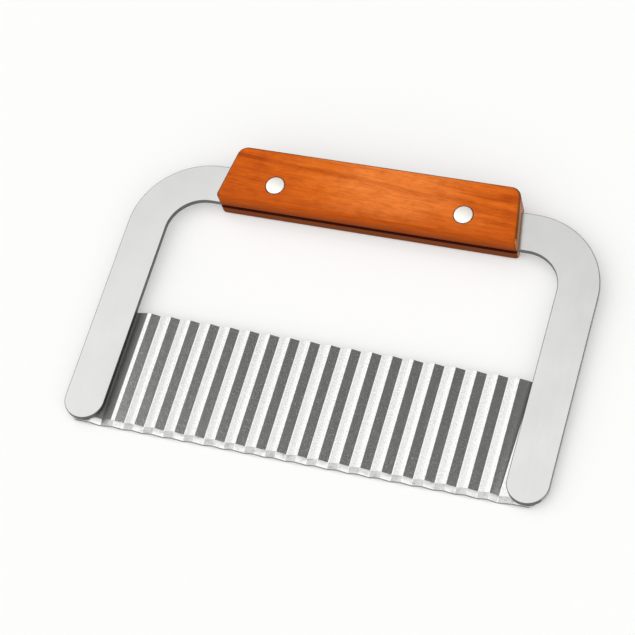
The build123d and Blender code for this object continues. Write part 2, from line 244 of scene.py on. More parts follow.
class Places:
    """Where the pieces meet, drawn upright: X along the blade, Y up the legs, Z forwards."""

    def __init__(self, scene):
        sheet = scene.cutter_frame
        blade = scene.cutter_blade
        handle = scene.cutter_handle
        rivet = scene.cutter_rivet
        self.half_opening = sheet.width / 2 - sheet.leg_width
        self.bar_bottom_y = sheet.height - sheet.bar_width
        self.frame_middle_z = -sheet.thickness / 2
        self.blade_back_z = -sheet.thickness - blade.thickness
        self.blade_bottom_y = -blade.reach
        self.grind_top_y = self.blade_bottom_y + blade.grind_width
        self.honed_top_y = self.blade_bottom_y + blade.honed_width
        self.tab_end_x = sheet.width / 2 - blade.tab_edge_margin
        self.handle_bottom_y = self.bar_bottom_y - handle.below_bar
        self.handle_top_y = sheet.height + handle.above_bar
        self.handle_middle_y = (self.handle_bottom_y + self.handle_top_y) / 2
        self.handle_front_z = handle.front_depth
        self.handle_back_z = handle.front_depth - handle.thickness
        self.rivet_y = self.bar_bottom_y + rivet.above_bar_edge
        self.front_seat_z = self.handle_front_z - rivet.seat_depth
        self.back_seat_z = self.handle_back_z + rivet.seat_depth
        self.rivet_grip = self.front_seat_z - self.back_seat_z

    def lying(self):
        """The turn and shift from upright onto the table, read from the handle's back face."""
        face = next(m for m in frame["record"]["mounts"] if m["name"] == "handle_back")
        tilt = atan2(face["axis"][1], -face["axis"][2])
        upright = Vector((0.0, self.handle_middle_y, self.handle_back_z))
        return (Matrix.Translation(face["pos_m"]) @ Matrix.Rotation(tilt, 4, "X")
                @ Matrix.Translation(-upright))


# ---- Mesh helpers ----

def only(kind, geom):
    """The elements of one kind in mixed geometry."""
    return [g for g in geom if isinstance(g, kind)]


def flat_sheet(width, height, middle):
    """A new mesh of one flat face that looks along Z."""
    bm = bmesh.new()
    bmesh.ops.create_grid(bm, x_segments=1, y_segments=1, size=0.5)
    bmesh.ops.scale(bm, verts=bm.verts, vec=(width, height, 1.0))
    bmesh.ops.translate(bm, verts=bm.verts, vec=middle)
    return bm


def corner_turn(vert):
    """How far an outline turns at a corner that joins two of its edges."""
    a, b = [(edge.other_vert(vert).co - vert.co).normalized() for edge in vert.link_edges]
    return pi - acos(max(-1.0, min(1.0, a.dot(b))))


def round_corners(bm, verts, radius, segments):
    """Rounds corners of a flat outline to arcs of one radius."""
    for vert in verts:
        offset = radius * tan(corner_turn(vert) / 2)
        bmesh.ops.bevel(bm, geom=[vert], offset=offset, segments=segments, profile=0.5,
                        affect="VERTICES", clamp_overlap=False, material=-1)


def bevel_edges(bm, edges, offset, segments):
    """Rounds the edges between faces with one bevel."""
    bmesh.ops.bevel(bm, geom=edges, offset=offset, offset_type="OFFSET", segments=segments,
                    profile=0.5, affect="EDGES", clamp_overlap=False, material=-1)


def is_sharp(edge):
    """Whether an edge's two faces meet at a sharp angle."""
    return edge.is_manifold and edge.calc_face_angle(0.0) > SHARP_ANGLE


def thicken(bm, depth):
    """Gives a flat sheet a thickness, down from its own height."""
    made = bmesh.ops.extrude_face_region(bm, geom=list(bm.faces))["geom"]
    bmesh.ops.translate(bm, verts=only(BMVert, made), vec=Z * -depth)
    bmesh.ops.recalc_face_normals(bm, faces=bm.faces)


def plane_cut(bm, axis, place, faces=None):
    """Cuts faces, or the whole mesh, by a plane across an axis."""
    faces = list(bm.faces) if faces is None else faces
    edges = {e for f in faces for e in f.edges}
    verts = {v for f in faces for v in f.verts}
    bmesh.ops.bisect_plane(bm, geom=[*faces, *edges, *verts], dist=SAME_POINT,
                           plane_co=axis * place, plane_no=axis)


def face_at(bm, point, up):
    """The face that a point lies on, on the side of the piece that looks along up."""
    for face in bm.faces:
        if abs(face.verts[0].co.z - point.z) > NEAR or face.normal.z * up < FLAT:
            continue
        if bmesh.geometry.intersect_face_point(face, point):
            return face
    raise RuntimeError(f"no face at {tuple(point)}")


def round_opening(bm, point, up, radius, half_cell, segments):
    """Opens a round hole in a square cell of a flat face, and returns the hole's edges."""
    bm.normal_update()
    for axis, middle in ((X, point.x), (Y, point.y)):
        for side in (-half_cell, half_cell):
            plane_cut(bm, axis, middle + side, [face_at(bm, point, up)])
    cell = face_at(bm, point, up)
    rim = list(cell.edges)
    bmesh.ops.delete(bm, geom=[cell], context="FACES_ONLY")
    circle = bmesh.ops.create_circle(bm, segments=segments, radius=radius,
                                     matrix=Matrix.Translation(point))["verts"]
    hole = list({e for v in circle for e in v.link_edges})
    bmesh.ops.bridge_loops(bm, edges=rim + hole)
    return hole


def extrude_loop(bm, edges):
    """Extrudes open edges where they stand, and returns the new verts and edges beyond them."""
    made = bmesh.ops.extrude_edge_only(bm, edges=edges)["geom"]
    verts = only(BMVert, made)
    return verts, [e for e in only(BMEdge, made) if all(v in verts for v in e.verts)]


def sink(bm, edges, depth, shrink=1.0, centre=Vector()):
    """Pulls an open loop of edges down, and in towards its centre, and returns the new loop."""
    verts, loop = extrude_loop(bm, edges)
    bmesh.ops.scale(bm, vec=(shrink, shrink, 1.0), verts=verts, space=Matrix.Translation(-centre))
    bmesh.ops.translate(bm, verts=verts, vec=Z * depth)
    return loop


def finish_piece(bm, name, node, materials, lying):
    """Lays a drawn piece on the table as an object that stands for its CAD node."""
    bmesh.ops.recalc_face_normals(bm, faces=bm.faces)
    bmesh.ops.transform(bm, matrix=lying, verts=bm.verts)
    for face in bm.faces:
        face.smooth = True
    for edge in bm.edges:
        edge.smooth = not is_sharp(edge)
    mesh = bpy.data.meshes.new(name)
    bm.to_mesh(mesh)
    bm.free()
    piece = bpy.data.objects.new(name, mesh)
    bpy.context.scene.collection.objects.link(piece)
    for material in materials:
        mesh.materials.append(material)
    normals = piece.modifiers.new("Flat faces stay flat", "WEIGHTED_NORMAL")
    normals.keep_sharp = True
    normals.weight = 100
    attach(piece, "root")
    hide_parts(node)


# ---- Material helpers ----

def new_material(name):
    """A new material and its empty node tree."""
    material = bpy.data.materials.new(name)
    material.use_nodes = True
    material.node_tree.nodes.clear()
    return material, material.node_tree


def add_node(tree, kind, inputs=(), settings=None, stops=()):
    """Adds a shader node with its settings, its inputs and a ramp's (place, colour) stops.

    Inputs stand in the node's own order or go by name or number. A map range's are its value, the
    range it comes from and the range it goes to. Each is a value, an output, or a node whose
    first output in use is linked.
    """
    node = tree.nodes.new("ShaderNode" + kind)
    for name, value in (settings or {}).items():
        setattr(node, name, value)
    for name, value in inputs.items() if isinstance(inputs, dict) else enumerate(inputs):
        socket = node.inputs[name]
        if isinstance(value, bpy.types.Node):
            value = next(output for output in value.outputs if output.enabled)
        if isinstance(value, bpy.types.NodeSocket):
            tree.links.new(value, socket)
        else:
            socket.default_value = (*value, 1.0) if socket.type == "RGBA" else value
    if stops:
        elements = node.color_ramp.elements
        while len(elements) < len(stops):
            elements.new(0.5)
        for element, (place, rgb) in zip(elements, stops):
            element.position = place
            element.color = (*rgb, 1.0)
    return node


def lying_coordinates(tree, cell, slant=0.0):
    """Object coordinates in the cutter's own plane, in cells of a real size per axis, in mm."""
    place = add_node(tree, "TexCoord").outputs["Object"]
    tilt = Places(bpy.context.scene).lying().to_euler().x
    upright = add_node(tree, "Mapping", {"Vector": place, "Rotation": (-tilt, 0.0, slant)})
    per_metre = tuple(1.0 / (size * MM) for size in cell)
    return add_node(tree, "Mapping", {"Vector": upright, "Scale": per_metre})


def grain(tree, cell, detail=2.0, roughness=0.5, slant=0.0, sway=None, swing=0.0):
    """Noise in cells of a real size per axis, in mm, which another noise may make sway."""
    place = lying_coordinates(tree, cell, slant)
    if sway:
        place = add_node(tree, "VectorMath", (sway, (0.0, swing, swing), place),
                         {"operation": "MULTIPLY_ADD"})
    return add_node(tree, "TexNoise", {"Vector": place, "Scale": 1.0, "Detail": detail,
                                       "Roughness": roughness})


def shaded(tree, base, pattern, stops):
    """A colour times a pattern's shades: (place, shade) stops, each a number or a colour."""
    shades = [(place, (shade,) * 3 if isinstance(shade, float) else shade)
              for place, shade in stops]
    ramp = add_node(tree, "ValToRGB", (pattern,), stops=shades)
    return add_node(tree, "Mix", {"Factor": 1.0, COLOUR_A: base, COLOUR_B: ramp},
                    {**MIX_COLOURS, "blend_type": "MULTIPLY"})


def surface(material, kind, tone, rough, relief=None, depth_mm=0.0):
    """Closes a material with the principled shader, with its relief, and returns it."""
    tree = material.node_tree
    inputs = {**kind, "Base Color": tone, "Roughness": rough}
    if relief:
        inputs["Normal"] = add_node(tree, "Bump", {"Height": relief, "Distance": depth_mm * MM})
    add_node(tree, "OutputMaterial", {"Surface": add_node(tree, "BsdfPrincipled", inputs)})
    return material


# ---- Materials ----

def satin_sheet_steel(rgb):
    """Cold-rolled stainless sheet, tumbled after stamping: an even grey with a soft sheen."""
    material, tree = new_material("tumbled_stainless_sheet")
    # Rolling leaves faint long streaks up the sheet, 0.35 mm wide; tumbling dulls them.
    streaks = grain(tree, (0.35, 9.0, 9.0), detail=3.0)
    clouds = grain(tree, (22.0, 22.0, 22.0))
    tone = shaded(tree, rgb, clouds, ((0.3, 0.96), (0.7, 1.04)))
    rough = add_node(tree, "MapRange", (streaks, 0.3, 0.7, 0.20, 0.23))
    return surface(material, METAL, tone, rough, streaks, 0.0006)


def shorn_sheet_edge(name, rgb):
    """The edge a stamping die tears: darker and rougher than the rolled face."""
    material, tree = new_material(name)
    # The tear leaves fine lines through the thickness, 0.2 mm apart.
    tears = grain(tree, (0.2, 0.2, 2.0), detail=3.0)
    tone = shaded(tree, rgb, tears, ((0.3, 0.8), (0.7, 1.15)))
    return surface(material, METAL, tone, 0.45, tears, 0.02)


def pressed_strip_steel(name, rgb, smoothest, roughest):
    """Thin stainless strip, bright rolled and pressed: it mirrors the room in soft bands."""
    material, tree = new_material(name)
    # Press marks run up the waves, 0.5 mm wide and half as long as the blade is high.
    marks = grain(tree, (0.5, 26.0, 26.0), detail=3.0)
    tone = shaded(tree, rgb, marks, ((0.3, 0.95), (0.7, 1.03)))
    # Pits and scuffs, really under 0.1 mm wide and drawn 0.3 mm wide so that they can be seen.
    scuffs = grain(tree, (0.3, 0.4, 0.4), detail=1.0)
    tone = shaded(tree, tone, scuffs, ((0.30, 0.86), (0.5, 1.0), (0.70, 1.18)))
    rough = add_node(tree, "MapRange", (scuffs, 0.55, 0.72, smoothest, roughest))
    # The press leaves soft dents 5 mm apart.
    dents = grain(tree, (5.0, 12.0, 12.0), detail=1.0)
    return surface(material, METAL, tone, rough, dents, 0.02)


def ground_bevel_steel(name, rgb):
    """The bevel that grinding leaves along the cutting edge: pale, with fine cross scratches."""
    material, tree = new_material(name)
    # The wheel crosses the edge, so the scratches run up the bevel, 0.3 mm apart.
    scratches = grain(tree, (0.3, 4.0, 4.0), detail=3.0)
    # The wheel bites unevenly, in patches 3 mm wide.
    patches = grain(tree, (3.0, 1.4, 1.4), detail=3.0, roughness=0.6)
    tone = shaded(tree, rgb, patches, ((0.34, 0.74), (0.52, 1.0), (0.75, 1.06)))
    return surface(material, METAL, tone, 0.42, scratches, 0.012)


def frame_finishes(colours):
    """The frame's three finishes, in the order of their names at the top."""
    return [
        satin_sheet_steel(colours.sheet_steel),
        shorn_sheet_edge("shorn_stainless_edge", colours.shorn_steel),
        # A lighter copy of the torn edge: painted light on the outer edges.
        shorn_sheet_edge("painted_light_stainless_edge", colours.outer_edge_light_steel),
    ]


def blade_finishes(colours):
    """The blade's six finishes, in the order of their names at the top."""
    return [
        pressed_strip_steel("pressed_stainless_strip", colours.blade_steel, 0.14, 0.22),
        # Lighter than the pressed face: painted highlight beside each crest.
        pressed_strip_steel("painted_highlight_stainless_crest", colours.crest_highlight_steel, 0.14, 0.2),
        # The bevel's lit copy: painted light.
        ground_bevel_steel("painted_light_ground_stainless_bevel", colours.ground_light_steel),
        shorn_sheet_edge("shorn_stainless_strip_edge", colours.shorn_steel),
        # Dark and rough: painted shade for the folds beside the legs and for the last bevel.
        pressed_strip_steel("painted_shade_stainless_fold", colours.fold_shade_steel, 0.7, 0.8),
        # The bevel's shaded copy: painted shade.
        ground_bevel_steel("painted_shade_ground_stainless_bevel", colours.ground_shade_steel),
    ]


def stained_wood(colours, low_edge_mm):
    """A fine-grained hardwood, stained orange-brown and varnished to a low gloss."""
    material, tree = new_material("stained_varnished_hardwood")
    slant = radians(4)
    # The palm wears a place near the middle paler; both ends keep their full stain.
    worn_place_mm = 9.0
    places = add_node(tree, "SeparateXYZ", (lying_coordinates(tree, ONE_MM),)).outputs
    beside = add_node(tree, "Math", (places["X"], worn_place_mm), {"operation": "SUBTRACT"})
    aside = add_node(tree, "Math", (beside,), {"operation": "ABSOLUTE"})
    # Clouds 20 mm long push the worn place's border out by up to 46 mm.
    border_push_mm = -46.0
    clouds = grain(tree, (20.0, 7.0, 7.0), detail=3.0)
    cloudy = add_node(tree, "Math", (clouds, border_push_mm, aside), {"operation": "MULTIPLY_ADD"})
    worn = add_node(tree, "MapRange", (cloudy, -14.0, 26.0, 0.0, 1.0))
    wood = add_node(tree, "ValToRGB", (worn,), stops=(
        (0.0, colours.wood_light), (0.55, colours.wood_mid), (1.0, colours.wood_dark)))
    # Growth rings cross the block on a slant as long faint streaks, 4 mm apart and bent a little.
    bends = grain(tree, (45.0, 10.0, 10.0), slant=slant)
    rings = grain(tree, (110.0, 4.0, 4.0), 3.0, 0.55, slant, sway=bends, swing=1.8)
    wood = shaded(tree, wood, rings, ((0.30, (0.72, 0.62, 0.48)), (0.44, (0.96, 0.93, 0.88)),
                                      (0.54, (1.05, 1.10, 1.18)), (0.66, (0.86, 0.79, 0.68))))
    # Painted shade along the lower edge, 7 mm high, darker and a little olive.
    lower_edge_shade = add_node(tree, "MapRange", (places["Y"], low_edge_mm, low_edge_mm + 7.0, 0.95, 0.0))
    wood = add_node(tree, "Mix", {"Factor": lower_edge_shade, COLOUR_A: wood, COLOUR_B: colours.wood_shade},
                    MIX_COLOURS)
    # Fibres: fine dark and light hairs along the block, 0.3 mm wide.
    fibres = grain(tree, (14.0, 0.3, 0.3), 4.0, 0.6, slant / 2)
    wood = shaded(tree, wood, fibres, ((0.28, (0.78, 0.70, 0.62)), (0.5, 1.0),
                                       (0.75, (1.09, 1.09, 1.10))))
    # Pores cut open along the grain: short dark dashes, 2 mm long, drawn 0.4 mm wide to be seen.
    pores = grain(tree, (2.4, 0.4, 0.4), slant=slant / 2)
    wood = shaded(tree, wood, pores, ((0.30, (0.86, 0.80, 0.72)), (0.44, 1.0),
                                      (0.70, (1.05, 1.06, 1.07))))
    # The stain takes unevenly, in soft blotches 7 mm long.
    blotches = grain(tree, (7.0, 4.0, 4.0), detail=3.0)
    wood = shaded(tree, wood, blotches, ((0.32, (0.88, 0.82, 0.74)), (0.5, 1.0),
                                         (0.68, (1.06, 1.08, 1.10))))
    return surface(material, {**WOOD, "Specular IOR Level": 0.06}, wood, 0.4, fibres, 0.02)


def end_grain_wood(rgb):
    """The sawn ends: dull, speckled by open pores and pale where the saw has frayed them."""
    material, tree = new_material("sawn_end_grain")
    pores = grain(tree, (0.5, 0.5, 0.5), detail=4.0, roughness=0.7)
    tone = shaded(tree, rgb, pores, ((0.32, 0.5), (0.5, 1.0), (0.68, 1.5)))
    # The growth rings cross the end as darker bands, 3 mm apart and sagging.
    sag = grain(tree, (9.0, 9.0, 9.0), detail=1.0)
    bands = grain(tree, (90.0, 12.0, 3.0), sway=sag, swing=2.0)
    tone = shaded(tree, tone, bands, ((0.34, (0.62, 0.52, 0.44)), (0.5, 1.0)))
    return surface(material, {**WOOD, "Specular IOR Level": 0.12}, tone, 0.7, pores, 0.05)


def underside_shade_wood(colours):
    """The same wood on its rounded edges and underneath, darker: painted shade."""
    material, tree = new_material("painted_shade_hardwood_underside")
    fibres = grain(tree, (10.0, 0.6, 0.6), detail=4.0, roughness=0.6)
    tone = shaded(tree, colours.wood_shade, fibres, ((0.3, 0.62), (0.5, 0.88), (0.72, 1.1)))
    # Painted shade: darker towards the kerf, and behind it the wood is dark all over.
    height = add_node(tree, "SeparateXYZ", (lying_coordinates(tree, ONE_MM),)).outputs["Z"]
    unshaded_share = add_node(tree, "MapRange", (height, 6.0, 10.0, 0.0, 1.0))
    dark = Vector(colours.wood_shade) * 0.5
    tone = add_node(tree, "Mix", {"Factor": unshaded_share, COLOUR_A: dark, COLOUR_B: tone}, MIX_COLOURS)
    # Behind the bar the underside is painted grey-brown where it nears the table: painted shade.
    floor_shade_share = add_node(tree, "MapRange", (height, 4.0, 6.0, 0.6, 0.0))
    floor_shade_tone = Vector(colours.wood_rim_shade) * 0.7
    tone = add_node(tree, "Mix", {"Factor": floor_shade_share, COLOUR_A: tone, COLOUR_B: floor_shade_tone}, MIX_COLOURS)
    return surface(material, {**WOOD, "Specular IOR Level": 0.03}, tone, 0.6)


def recess_shade_wood(rgb):
    """Wood painted nearly black in the kerf and the seats: painted shade in these recesses."""
    material, tree = new_material("painted_shade_hardwood_recess")
    char = grain(tree, (2.0, 0.5, 0.5), detail=3.0)
    tone = shaded(tree, rgb, char, ((0.3, 0.5), (0.7, 1.0)))
    return surface(material, {**WOOD, "Specular IOR Level": 0.1}, tone, 0.8)


def rim_shade_wood(rgb):
    """The corner round the front face on the top and the left, grey-brown: painted shade."""
    material, tree = new_material("painted_shade_hardwood_rim")
    wear = grain(tree, (4.0, 4.0, 4.0), detail=3.0)
    tone = shaded(tree, rgb, wear, ((0.35, 0.8), (0.6, 1.2)))
    return surface(material, {**WOOD, "Specular IOR Level": 0.06}, tone, 0.5)


def handle_finishes(colours, low_edge_mm):
    """The handle's five finishes, in the order of their names at the top."""
    return [
        stained_wood(colours, low_edge_mm),
        end_grain_wood(colours.end_grain),
        # The underside's painted shade.
        underside_shade_wood(colours),
        recess_shade_wood(colours.kerf),
        rim_shade_wood(colours.wood_rim_shade),
    ]


def headed_rivet_metal(rgb):
    """Aluminium rivet heads, cold headed and tumbled: nearly white, with hair-fine marks."""
    material, tree = new_material("cold_headed_aluminium")
    # Tumbling marks, really hair-fine and drawn 0.8 mm wide so that they can be seen.
    marks = grain(tree, (0.8, 0.8, 0.8), detail=3.0)
    rough = add_node(tree, "MapRange", (marks, 0.3, 0.7, 0.56, 0.64))
    return surface(material, METAL, rgb, rough, marks, 0.006)


def light_table_sheet(rgb, glow):
    """A sheet of opal acrylic, matt on top and lit from below, which keeps the shadows pale."""
    material, tree = new_material("matt_opal_acrylic")
    # The matt top has a faint tooth, drawn 1.5 mm wide so that it can be seen.
    tooth = grain(tree, (1.5, 1.5, 1.5))
    tone = shaded(tree, rgb, tooth, ((0.2, 0.995), (0.8, 1.0)))
    kind = {"Metallic": 0.0, "Specular IOR Level": 0.0, "Emission Color": WHITE,
            "Emission Strength": glow}
    return surface(material, kind, tone, 1.0)


# ---- Frame ----

def draw_frame(sheet, places, rivet):
    """The stamped sheet: a rounded U, thickened, with its rivet holes and broken edges."""
    bm = flat_sheet(sheet.width, sheet.height, Y * sheet.height / 2)
    for axis, place in ((X, -places.half_opening), (X, places.half_opening),
                        (Y, places.bar_bottom_y)):
        plane_cut(bm, axis, place)
    opening = [f for f in bm.faces
               if abs(f.calc_center_median().x) < places.half_opening
               and f.calc_center_median().y < places.bar_bottom_y]
    bmesh.ops.delete(bm, geom=opening, context="FACES")
    bmesh.ops.dissolve_faces(bm, faces=list(bm.faces), use_verts=False)
    straight = [v for v in bm.verts if corner_turn(v) < STRAIGHT]
    bmesh.ops.dissolve_verts(bm, verts=straight)
    top = [v for v in bm.verts if v.co.y > sheet.height - NEAR]
    inner = [v for v in bm.verts if abs(v.co.y - places.bar_bottom_y) < NEAR]
    tips = [v for v in bm.verts if v.co.y < NEAR]
    # A hair less than half the leg, so that a tip's two arcs leave an edge between them.
    tip_radius = sheet.leg_width / 2 * 0.9999
    round_corners(bm, top, sheet.outer_radius, segments=40)
    round_corners(bm, inner, sheet.inner_radius, segments=28)
    round_corners(bm, tips, tip_radius, segments=24)
    bm.normal_update()
    up = next(iter(bm.faces)).normal.z
    for side in (-1, 1):
        point = Vector((side * rivet.spacing / 2, places.rivet_y, 0.0))
        round_opening(bm, point, up, rivet.sleeve_diameter / 2 + rivet.bar_hole_gap,
                      half_cell=3.2 * MM, segments=32)
    thicken(bm, sheet.thickness)
    bevel_edges(bm, [e for e in bm.edges if is_sharp(e)], sheet.edge_break, segments=3)
    bm.normal_update()
    for face in bm.faces:
        # Edges that face away from the opening take a lighter copy of the torn edge: painted light.
        outwards = face.normal.x * (1 if face.calc_center_median().x > 0 else -1)
        rim = OUTER_EDGE_PAINTED_LIGHT if outwards > STEEP else TORN
        face.material_index = SATIN if abs(face.normal.z) > FLAT else rim
    return bm


class CUTTER_OT_frame(bpy.types.Operator):
    """Builds the stamped steel frame"""
    bl_idname = "cutter.frame"
    bl_label = "Frame"

    def execute(self, context):
        scene = context.scene
        places = Places(scene)
        bm = draw_frame(scene.cutter_frame, places, scene.cutter_rivet)
        finish_piece(bm, "stamped_frame", "frame",
                     frame_finishes(scene.cutter_colours), places.lying())
        return {"FINISHED"}


# ---- Blade ----

def fold_lines(places, blade):
    """The folds of the blade's back from the left tab to the right, and the right end's leans.

    A fold is (x, z, bend radius) at the blade's upper edge. The crests are level with the tabs,
    so the waves lie behind the frame's back. A lean is how far a fold's foot stands from that.
    """
    waves = int(2 * places.half_opening / blade.wave_pitch)
    outer_bend = blade.valley_radius + blade.thickness
    first_crest = (1 - waves / 2) * blade.wave_pitch - blade.wave_fall
    tab_fold_x = places.half_opening + blade.tab_fold
    folds = [(-tab_fold_x, 0.0, blade.tab_fold_radius),
             (-places.half_opening, -blade.end_valley_depth, outer_bend)]
    for wave in range(waves):
        crest = first_crest + wave * blade.wave_pitch
        folds += [(crest - blade.shoulder_width, -blade.shoulder_rise, blade.shoulder_radius),
                  (crest, 0.0, blade.crest_radius),
                  (crest + blade.wave_fall, -blade.wave_depth, outer_bend)]
    folds[-1] = ((crest + places.half_opening) / 2, -blade.last_fall_drop, blade.last_fall_radius)
    folds += [(places.half_opening, -blade.end_valley_depth, outer_bend),
              (tab_fold_x, 0.0, blade.tab_fold_radius)]
    straightened = blade.last_fall_drop - blade.end_valley_depth / 2
    leans = {len(folds) - 3: Vector((-blade.end_valley_lean / 2, 0.0, straightened)),
             len(folds) - 2: Vector((-blade.end_valley_lean, 0.0, 0.0))}
    return folds, leans


def folded_sheet(places, blade):
    """The blade's back as one folded strip of faces, with its bends rounded."""
    bm = bmesh.new()
    start = (-places.tab_end_x, places.blade_bottom_y, places.blade_back_z)
    low = bmesh.ops.create_vert(bm, co=start)["vert"][0]
    edge = bmesh.ops.extrude_vert_indiv(bm, verts=[low])["edges"][0]
    edge.other_vert(low).co.y += blade.height
    folds, leans = fold_lines(places, blade)
    creases = []
    for x, z, _ in folds + [(places.tab_end_x, 0.0, 0.0)]:
        verts, (edge,) = extrude_loop(bm, [edge])
        for vert in verts:
            vert.co.x = x
            vert.co.z = places.blade_back_z + z
        creases.append(edge)
    bm.normal_update()
    turns = [crease.calc_face_angle(0.0) for crease in creases[:-1]]
    for index, lean in leans.items():
        foot = min(creases[index].verts, key=lambda v: v.co.y)
        foot.co += lean
    for crease, turn, (_, _, radius) in zip(creases, turns, folds):
        bevel_edges(bm, [crease], radius * tan(turn / 2), segments=6)
    corners = [v for v in bm.verts if len(v.link_edges) == 2]
    round_corners(bm, corners, blade.tab_corner_radius, segments=10)
    return bm


def place_key(vert):
    """A vert's place, rounded so that a copy of the vert has the same one."""
    return tuple(round(c, 8) for c in vert.co)


def draw_blade(places, blade):
    """The corrugated sheet, thickened forwards, ground to its edge and dented by its welds."""
    bm = folded_sheet(places, blade)
    plane_cut(bm, Y, places.grind_top_y)
    plane_cut(bm, Y, places.honed_top_y)
    bmesh.ops.recalc_face_normals(bm, faces=bm.faces)
    bm.normal_update()
    if sum(f.normal.z * f.calc_area() for f in bm.faces) < 0:
        bmesh.ops.reverse_faces(bm, faces=bm.faces)
    bm.normal_update()
    steps = {place_key(v): v.normal * v.calc_shell_factor() for v in bm.verts}
    made = bmesh.ops.extrude_face_region(bm, geom=list(bm.faces), use_keep_orig=True)["geom"]
    for vert in only(BMVert, made):
        step = steps[place_key(vert)]
        ground = min(1.0, (vert.co.y - places.blade_bottom_y) / blade.grind_width)
        depth = blade.edge_thickness + (blade.thickness - blade.edge_thickness) * ground
        vert.co += step * depth
    bmesh.ops.recalc_face_normals(bm, faces=bm.faces)
    add_weld_dents(bm, places, blade)
    bm.normal_update()
    crests = [x for x, _, radius in fold_lines(places, blade)[0] if radius == blade.crest_radius]
    for face in bm.faces:
        face.material_index = blade_finish(face, crests, places, blade)
    return bm


def blade_finish(face, crests, places, blade):
    """Which finish a face of the blade has."""
    middle = face.calc_center_median()
    if face.normal.z < HALF_TURNED and abs(face.normal.y) > HALF_TURNED:
        return SHORN
    if middle.y < places.grind_top_y and face.normal.z > 0:
        if middle.y < places.honed_top_y:
            # Honing leaves the last bevel as dull as the deep folds; its dark fold colour is painted
            # shade for the dark line along the cutting edge.
            return FOLD_PAINTED_SHADE
        # Faces that look left take the bevel's shaded copy and the rest take its lit copy: painted
        # shade and painted light.
        return GROUND_PAINTED_LIGHT if face.normal.x > -LEVEL else GROUND_PAINTED_SHADE
    # Faces at the right end that look left, and the strip beside each crest, take the lighter crest
    # finish: a painted highlight.
    if middle.x > crests[-1] and face.normal.x < 0:
        return CREST_PAINTED_HIGHLIGHT
    # The ends and the first strip at the left take the dark fold finish: painted shade beside the
    # legs.
    if abs(middle.x) > places.half_opening or middle.x < crests[0] - blade.shoulder_width:
        return FOLD_PAINTED_SHADE
    to_crest = min((x - middle.x for x in crests if x > middle.x), default=blade.wave_pitch)
    return CREST_PAINTED_HIGHLIGHT if to_crest < blade.shoulder_width else PRESSED


def add_weld_dents(bm, places, blade):
    """Presses a row of shallow round dents into the back of each tab."""
    tab_middle_x = (fold_lines(places, blade)[0][-1][0] + places.tab_end_x) / 2
    row_height = (blade.welds_per_tab - 1) * blade.weld_spacing
    first_y = places.blade_bottom_y + (blade.height - row_height) / 2
    radius = blade.weld_diameter / 2
    # Each step down is a share of the depth and leaves a share of the width: a wall, then a dish.
    steps = ((0.75, 0.88), (0.25, 0.75))
    for side in (-1, 1):
        for weld in range(blade.welds_per_tab):
            point = Vector((side * tab_middle_x, first_y + weld * blade.weld_spacing,
                            places.blade_back_z))
            loop = round_opening(bm, point, -1.0, radius, half_cell=radius * 1.3, segments=32)
            for down, width_left in steps:
                loop = sink(bm, loop, blade.weld_depth * down, width_left, point)
            bmesh.ops.edgeloop_fill(bm, edges=loop)


class CUTTER_OT_blade(bpy.types.Operator):
    """Builds the corrugated blade"""
    bl_idname = "cutter.blade"
    bl_label = "Blade"

    def execute(self, context):
        scene = context.scene
        places = Places(scene)
        bm = draw_blade(places, scene.cutter_blade)
        finish_piece(bm, "corrugated_blade", "blade",
                     blade_finishes(scene.cutter_colours), places.lying())
        return {"FINISHED"}


# ---- Handle ----

def draw_handle(places, handle, sheet, rivet):
    """The wooden block, rounded, kerfed from below and bored for the rivet heads."""
    height = places.handle_top_y - places.handle_bottom_y
    middle = Vector((0.0, places.handle_middle_y, places.handle_front_z))
    bm = flat_sheet(handle.length, height, middle)
    top = [v for v in bm.verts if v.co.y > places.handle_middle_y]
    bottom = [v for v in bm.verts if v.co.y < places.handle_middle_y]
    bmesh.ops.scale(bm, verts=top, vec=(handle.top_length / handle.length, 1.0, 1.0))
    round_corners(bm, top, handle.top_radius, segments=12)
    round_corners(bm, bottom, handle.bottom_radius, segments=8)
    thicken(bm, handle.thickness)
    rims = [e for e in bm.edges if any(abs(f.normal.z) > FLAT for f in e.link_faces)]
    bevel_edges(bm, rims, handle.edge_round, segments=7)
    bm.normal_update()
    for face in bm.faces:
        face.material_index = wood_finish(face)
    cut_kerf(bm, places, handle, sheet)
    for side in (-1, 1):
        for up, z in ((1.0, places.handle_front_z), (-1.0, places.handle_back_z)):
            bore_seat(bm, Vector((side * rivet.spacing / 2, places.rivet_y, z)), up, rivet)
    bmesh.ops.recalc_face_normals(bm, faces=bm.faces)
    return bm


def bore_seat(bm, point, up, rivet):
    """Bores the seat of one rivet head, with a frayed mouth."""
    radius = rivet.head_diameter / 2 + rivet.seat_gap
    mouth = radius + rivet.seat_chamfer
    loop = round_opening(bm, point, up, mouth, half_cell=radius * 1.2, segments=48)
    outside = set(bm.faces)
    loop = sink(bm, loop, -up * rivet.seat_chamfer, radius / mouth, point)
    loop = sink(bm, loop, -up * (rivet.seat_depth - rivet.seat_chamfer))
    bmesh.ops.edgeloop_fill(bm, edges=loop)
    # The seat is painted nearly black: painted shade, the dark ring round each head.
    for face in set(bm.faces) - outside:
        face.material_index = RECESS_PAINTED_SHADE


